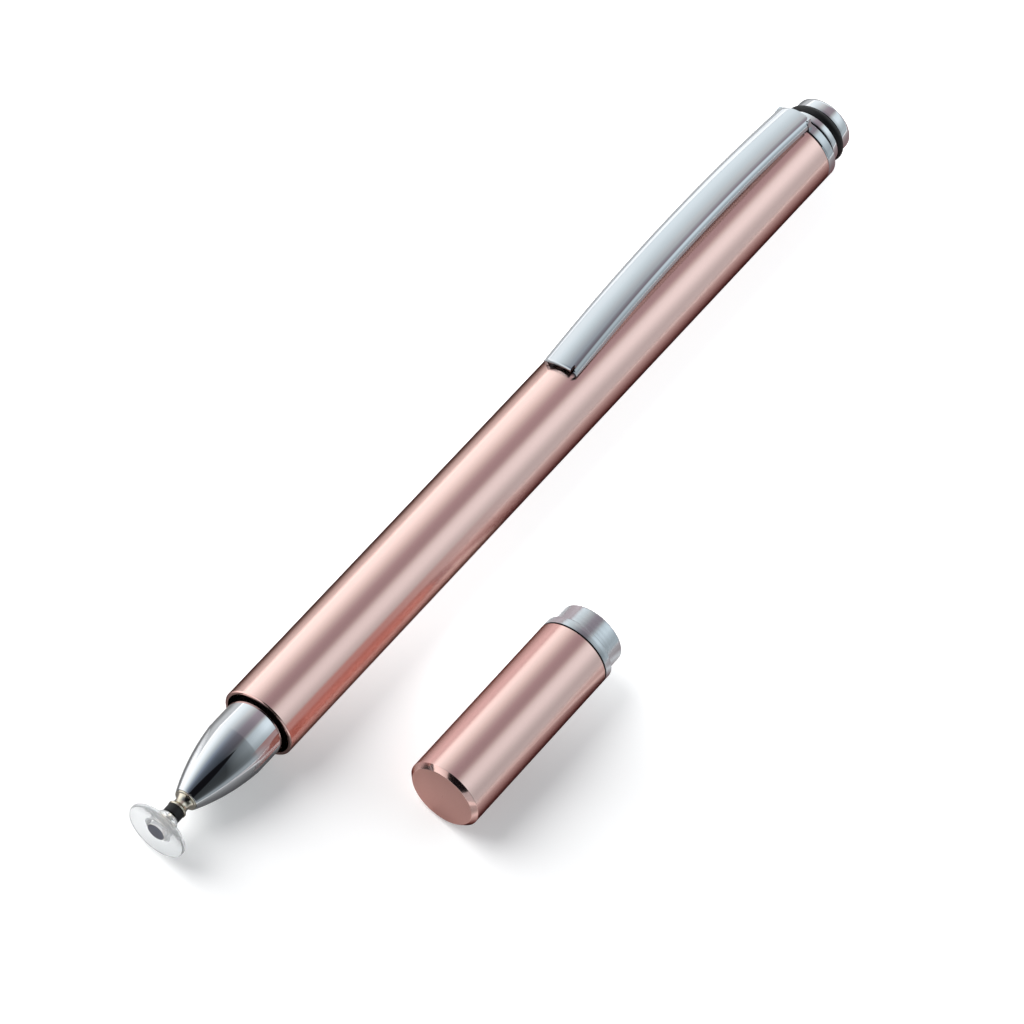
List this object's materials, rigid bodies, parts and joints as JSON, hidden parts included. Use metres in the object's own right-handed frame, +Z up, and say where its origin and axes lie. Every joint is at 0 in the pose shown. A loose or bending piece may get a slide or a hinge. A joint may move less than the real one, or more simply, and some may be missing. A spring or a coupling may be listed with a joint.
{
  "type": "stylus pen",
  "caption": "Capacitive stylus pen with a clear swivelling disc tip, chromed nose and pocket clip, lying beside its pull-off cap.",
  "frame": {"origin": "bottom centre of the box round the whole set, pen and cap, on the surface they lie on", "axes": "+X along the pen from the disc to the rear button, +Y from the cap towards the pen, +Z up"},
  "size_m": [0.1236, 0.0298, 0.0113],
  "materials": {
    "rose_anodised": "rose-gold anodised, satin",
    "silver_aluminium": "fine turned",
    "chrome": "polished",
    "nickel": "nickel plated",
    "brass": "as turned",
    "black_rubber": "matte",
    "black_plastic": "moulded",
    "clear_plastic": "clear, polished"
  },
  "bodies": {
    "pen": {"barrel": "rose_anodised", "front_bushing": "brass", "nose_cone": "chrome", "front_o_ring": "black_rubber", "tip_ferrule": "nickel", "rear_bushing": "brass", "rear_plug": "chrome", "rear_o_ring": "black_rubber", "clip_ring": "chrome"},
    "tip_pin": {"ball_pin": "nickel", "rubber_sleeve": "black_rubber"},
    "disc": {"contact_disc": "clear_plastic", "disc_socket": "nickel", "ball_seat": "black_plastic"},
    "clip": {"clip_arm": "chrome"},
    "cap": {"cap_shell": "rose_anodised", "cap_insert": "silver_aluminium"}
  },
  "joints": [
    {"name": "disc_swivel", "type": "hinge", "parent": "pen", "child": "tip_pin", "pos_m": [-0.06057, 0.00944, 0.0045], "axis": [1, 0, 0], "continuous": true},
    {"name": "disc_tilt", "type": "hinge", "parent": "tip_pin", "child": "disc", "pos_m": [-0.06057, 0.00944, 0.0045], "axis": [0, 1, 0], "range_deg": [-25, 25]},
    {"name": "clip_flex", "type": "hinge", "parent": "pen", "child": "clip", "pos_m": [0.05681, 0.01234, 0.00898], "axis": [0, 0.8387, -0.5446], "range_deg": [0, 2.5], "stiffness_Nm_per_rad": 2},
    {"name": "cap_slide", "type": "slide", "parent": "pen", "child": "cap", "axis": [-0.9794, 0.202, 0], "range_m": [0, 0.09802]}
  ]
}
